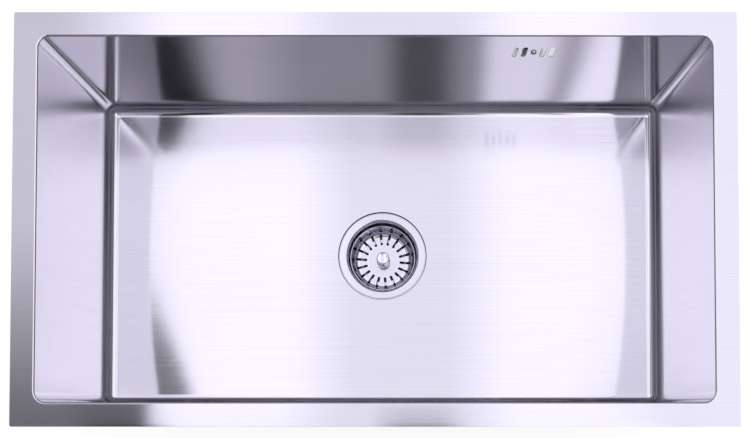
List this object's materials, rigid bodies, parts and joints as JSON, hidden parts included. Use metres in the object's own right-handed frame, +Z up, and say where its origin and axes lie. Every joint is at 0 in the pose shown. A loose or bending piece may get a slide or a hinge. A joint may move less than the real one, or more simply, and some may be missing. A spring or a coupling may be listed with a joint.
{
  "type": "undermount kitchen sink",
  "caption": "Rectangular undermount steel kitchen sink bowl with tight corner radii, a flat bonding flange, a slotted overflow with its hose, and a basket strainer waste.",
  "frame": {"origin": "centre of the bowl's mouth, on the flat top face of the flange that bonds to the underside of a worktop", "axes": "+X along the bowl's length, left to right as seen by a person at the sink; +Y from the front to the back wall with the overflow; +Z up, out of the bowl"},
  "size_m": [0.75, 0.4386, 0.3383],
  "materials": {
    "steel": "directional brushed satin",
    "strainer_steel": "fine polished pressing",
    "bright_steel": "bright drawn and polished",
    "zinc_steel": "plain turned",
    "undercoat": "sprayed pebbled coating",
    "sound_pad": "matt pressed rubber",
    "white_plastic": "moulded satin",
    "grey_plastic": "moulded matt",
    "seal_rubber": "smooth matt rubber",
    "brass": "turned"
  },
  "bodies": {
    "sink": {"bowl_shell": "steel", "undercoat": "undercoat", "cup_gasket": "seal_rubber", "strainer_cup": "strainer_steel", "clamp_bolt": "zinc_steel", "insert_nut": "brass", "waste_gasket": "seal_rubber", "waste_body": "white_plastic", "waste_spout": "white_plastic", "overflow_gasket": "seal_rubber", "overflow_housing": "white_plastic", "overflow_screw": "bright_steel", "overflow_hose": "grey_plastic", "pad_base_left": "sound_pad", "pad_base_right": "sound_pad", "pad_wall_left": "sound_pad", "pad_wall_right": "sound_pad", "pad_wall_front": "sound_pad", "pad_wall_back": "sound_pad", "hose_seal_upper": "seal_rubber", "hose_seal_lower": "seal_rubber", "hose_nut_upper": "white_plastic", "hose_nut_lower": "white_plastic"},
    "stopper": {"stopper_seal": "seal_rubber", "seal_plate": "zinc_steel", "spring_clip": "white_plastic"},
    "basket": {"basket": "bright_steel", "basket_post": "bright_steel"}
  },
  "joints": [
    {"name": "basket_lift", "type": "slide", "parent": "sink", "child": "stopper", "axis": [0, 0, 1], "range_m": [0, 0.28]},
    {"name": "basket_turn", "type": "hinge", "parent": "stopper", "child": "basket", "pos_m": [0, 0, -0.25], "axis": [0, 0, 1], "continuous": true}
  ]
}
